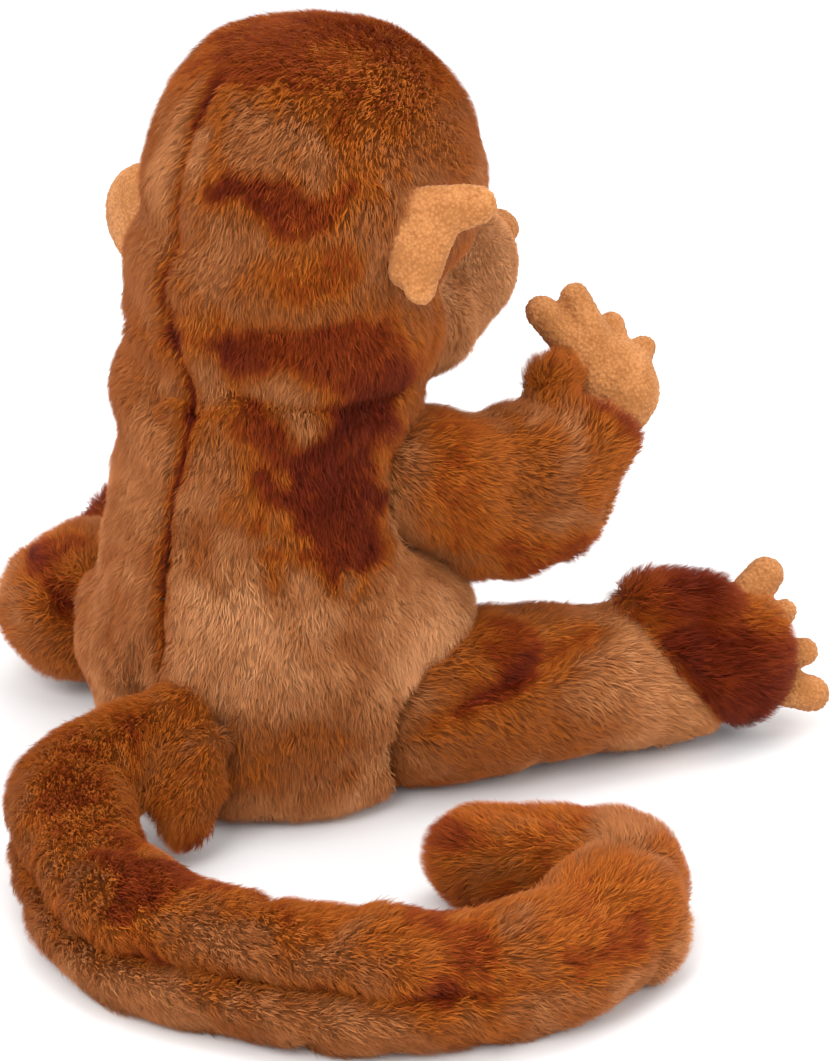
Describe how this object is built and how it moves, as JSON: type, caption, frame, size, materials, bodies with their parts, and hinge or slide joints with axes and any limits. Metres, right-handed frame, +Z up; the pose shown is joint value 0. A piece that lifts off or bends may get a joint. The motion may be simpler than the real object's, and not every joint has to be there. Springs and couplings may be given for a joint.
{
  "type": "stuffed monkey",
  "caption": "Sitting stuffed monkey in silky brown fur, with a turned head, bending arms and legs, folding terry ears, and a long curled tail lying on the floor behind it.",
  "frame": {"origin": "centre of the flat seat face, on the floor", "axes": "+Z up, the monkey faces -Y, its right side is -X"},
  "size_m": [0.4771, 0.4527, 0.385],
  "materials": {
    "fur": "pile",
    "dark_fur": "pile",
    "orange_fur": "pile",
    "terry": "terry loops",
    "fibre": "matte",
    "thread": "matte",
    "eye_plastic": "glossy",
    "washer_plastic": "matte",
    "bag_cloth": "matte"
  },
  "bodies": {
    "torso": {"seat_panel": "fur", "back_left_panel": "fur", "back_right_panel": "fur", "belly_panel": "fur", "torso_filling": "fibre", "pellet_bag": "bag_cloth", "back_seam_thread": "thread"},
    "neck": {"neck_collar": "fur"},
    "head": {"head_back_left_panel": "fur", "head_back_right_panel": "fur", "face_panel": "orange_fur", "muzzle": "orange_fur", "nose": "terry", "mouth_thread": "thread", "right_eye": "eye_plastic", "left_eye": "eye_plastic", "right_eye_washer": "washer_plastic", "left_eye_washer": "washer_plastic", "head_filling": "fibre"},
    "right_ear": {"right_ear_back": "terry", "right_ear_front": "terry"},
    "left_ear": {"left_ear_back": "terry", "left_ear_front": "terry"},
    "right_upper_arm": {"right_upper_arm_cover": "fur", "right_upper_arm_filling": "fibre"},
    "right_forearm": {"right_forearm_cover": "dark_fur", "right_forearm_filling": "fibre"},
    "right_hand": {"right_hand_terry": "terry"},
    "right_thigh": {"right_thigh_cover": "fur", "right_thigh_filling": "fibre"},
    "right_shin": {"right_shin_cover": "fur", "right_shin_filling": "fibre"},
    "right_foot": {"right_foot_cover": "dark_fur", "right_foot_filling": "fibre", "right_toes_terry": "terry"},
    "left_upper_arm": {"left_upper_arm_cover": "fur", "left_upper_arm_filling": "fibre"},
    "left_forearm": {"left_forearm_cover": "dark_fur", "left_forearm_filling": "fibre"},
    "left_hand": {"left_hand_terry": "terry"},
    "left_thigh": {"left_thigh_cover": "fur", "left_thigh_filling": "fibre"},
    "left_shin": {"left_shin_cover": "fur", "left_shin_filling": "fibre"},
    "left_foot": {"left_foot_cover": "dark_fur", "left_foot_filling": "fibre", "left_toes_terry": "terry"},
    "tail_1": {"tail_1_cover": "dark_fur", "tail_1_filling": "fibre"},
    "tail_2": {"tail_2_cover": "dark_fur", "tail_2_filling": "fibre"},
    "tail_3": {"tail_3_cover": "fur", "tail_3_filling": "fibre"},
    "tail_4": {"tail_4_cover": "fur", "tail_4_filling": "fibre"},
    "tail_5": {"tail_5_cover": "fur", "tail_5_filling": "fibre"},
    "tail_6": {"tail_6_cover": "orange_fur", "tail_6_filling": "fibre"}
  },
  "joints": [
    {"name": "neck_turn", "type": "hinge", "parent": "torso", "child": "neck", "pos_m": [-0.013, -0.028, 0.264], "axis": [0, 0, 1], "range_deg": [-14, 25]},
    {"name": "head_nod", "type": "hinge", "parent": "neck", "child": "head", "pos_m": [-0.013, -0.028, 0.264], "axis": [0.9395, -0.342, -0.0175], "range_deg": [-10, 5]},
    {"name": "right_ear_fold", "type": "hinge", "parent": "head", "child": "right_ear", "pos_m": [-0.08177, 0.01831, 0.29541], "axis": [-0.0164, 0.006, -0.9998], "range_deg": [-12, 18]},
    {"name": "left_ear_fold", "type": "hinge", "parent": "head", "child": "left_ear", "pos_m": [0.07001, -0.03693, 0.26659], "axis": [0.0164, -0.006, 0.9998], "range_deg": [-12, 18]},
    {"name": "right_shoulder", "type": "hinge", "parent": "torso", "child": "right_upper_arm", "pos_m": [-0.065, -0.032, 0.159], "axis": [-0.7314, 0.682, 0], "range_deg": [-14, 8]},
    {"name": "right_elbow", "type": "hinge", "parent": "right_upper_arm", "child": "right_forearm", "pos_m": [-0.11326, -0.08376, 0.13736], "axis": [-0.7567, 0.5773, 0.3068], "range_deg": [-40, 4]},
    {"name": "right_wrist", "type": "hinge", "parent": "right_forearm", "child": "right_hand", "pos_m": [-0.12022, -0.11953, 0.18752], "axis": [-0.7567, 0.5773, 0.3068], "range_deg": [-20, 15]},
    {"name": "right_hip", "type": "hinge", "parent": "torso", "child": "right_thigh", "pos_m": [-0.076, -0.02, 0.043], "axis": [0, 0, -1], "range_deg": [-8, 10]},
    {"name": "right_knee", "type": "hinge", "parent": "right_thigh", "child": "right_shin", "pos_m": [-0.11663, -0.072, 0.04185], "axis": [0, 0, 1], "range_deg": [-12, 25]},
    {"name": "right_ankle", "type": "hinge", "parent": "right_shin", "child": "right_foot", "pos_m": [-0.15936, -0.12477, 0.03829], "axis": [-0.6947, 0.7193, 0], "range_deg": [-2, 20]},
    {"name": "left_shoulder", "type": "hinge", "parent": "torso", "child": "left_upper_arm", "pos_m": [0.065, -0.032, 0.159], "axis": [-0.788, -0.6157, 0], "range_deg": [-12, 25]},
    {"name": "left_elbow", "type": "hinge", "parent": "left_upper_arm", "child": "left_forearm", "pos_m": [0.10446, -0.0825, 0.122], "axis": [-0.7676, -0.1417, -0.6251], "range_deg": [-20, 30]},
    {"name": "left_wrist", "type": "hinge", "parent": "left_forearm", "child": "left_hand", "pos_m": [0.10874, -0.14375, 0.13063], "axis": [-0.7676, -0.1417, -0.6251], "range_deg": [-15, 20]},
    {"name": "left_hip", "type": "hinge", "parent": "torso", "child": "left_thigh", "pos_m": [0.076, -0.02, 0.043], "axis": [0, 0, 1], "range_deg": [-8, 10]},
    {"name": "left_knee", "type": "hinge", "parent": "left_thigh", "child": "left_shin", "pos_m": [0.1412, -0.02916, 0.0476], "axis": [0, 0, -1], "range_deg": [-40, 4]},
    {"name": "left_ankle", "type": "hinge", "parent": "left_shin", "child": "left_foot", "pos_m": [0.15057, -0.09585, 0.03814], "axis": [-0.9613, -0.2756, 0], "range_deg": [-2, 20]},
    {"name": "tail_lift", "type": "hinge", "parent": "torso", "child": "tail_1", "pos_m": [-0.004, 0.084, 0.078], "axis": [0.867, 0.4983, 0], "range_deg": [0, 20]},
    {"name": "tail_bend_1", "type": "hinge", "parent": "tail_1", "child": "tail_2", "pos_m": [0.01309, 0.15254, 0.04044], "axis": [0, -0.0035, 1], "range_deg": [-20, 3]},
    {"name": "tail_bend_2", "type": "hinge", "parent": "tail_2", "child": "tail_3", "pos_m": [-0.06295, 0.21634, 0.02826], "axis": [0.002, -0.003, 1], "range_deg": [-20, 3]},
    {"name": "tail_bend_3", "type": "hinge", "parent": "tail_3", "child": "tail_4", "pos_m": [-0.17367, 0.20859, 0.02826], "axis": [0.0032, -0.0014, 1], "range_deg": [-20, 3]},
    {"name": "tail_bend_4", "type": "hinge", "parent": "tail_4", "child": "tail_5", "pos_m": [-0.23967, 0.14026, 0.02826], "axis": [0.0032, 0.0014, 1], "range_deg": [-25, 3]},
    {"name": "tail_bend_5", "type": "hinge", "parent": "tail_5", "child": "tail_6", "pos_m": [-0.23485, 0.07143, 0.02826], "axis": [0, 0.0035, 1], "range_deg": [-50, 3]}
  ]
}
